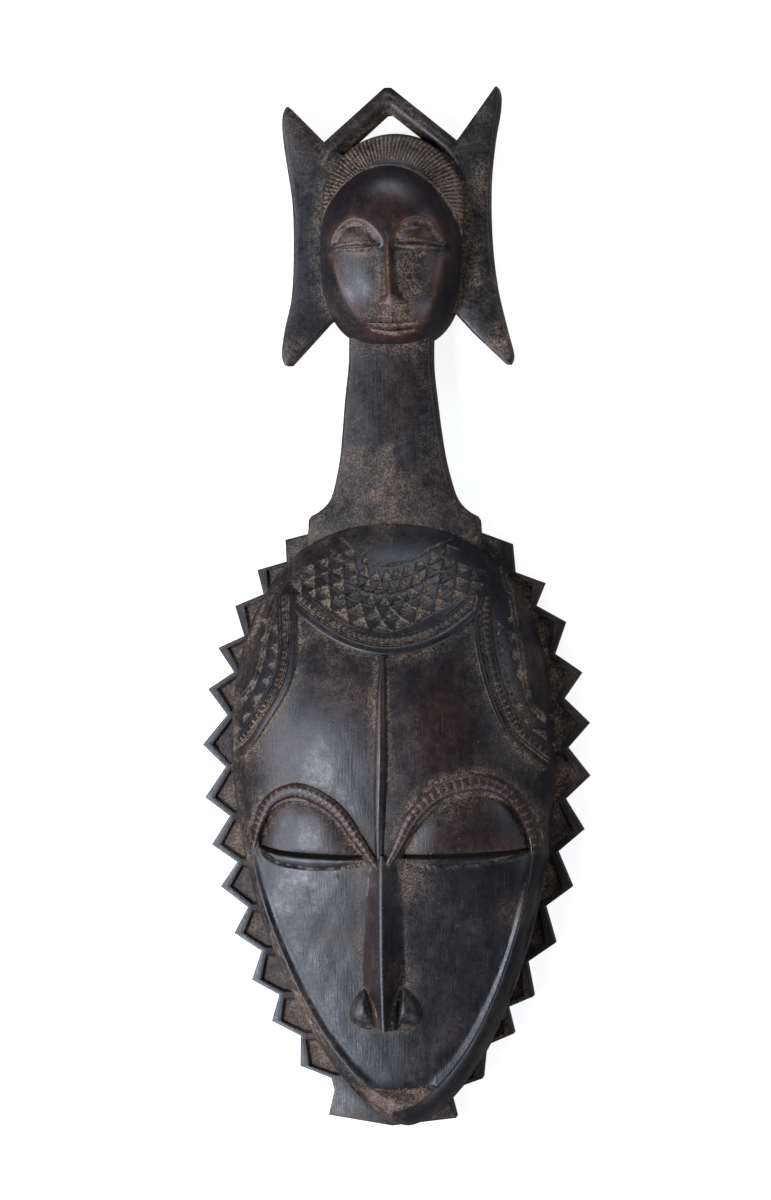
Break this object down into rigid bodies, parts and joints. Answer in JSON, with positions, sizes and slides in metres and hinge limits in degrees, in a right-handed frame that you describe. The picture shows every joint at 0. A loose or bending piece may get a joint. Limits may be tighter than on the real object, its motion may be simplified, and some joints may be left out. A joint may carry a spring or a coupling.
{
  "type": "yaure mask",
  "caption": "Long oval carved wood face mask with a toothed border, hollow back, and a small horned head on a neck above the brow.",
  "frame": {"origin": "under the middle of the mask's box, on the surface it lies on", "axes": "+Y towards the small head, +Z out of the face, +X to the right of someone facing it"},
  "size_m": [0.1688, 0.4524, 0.0651],
  "materials": {
    "carved_wood": "near-black stained wood, hand polished to a soft sheen, with red-brown wear and tan dust in the cuts"
  },
  "bodies": {
    "root": {"mask": "carved_wood"}
  },
  "joints": []
}
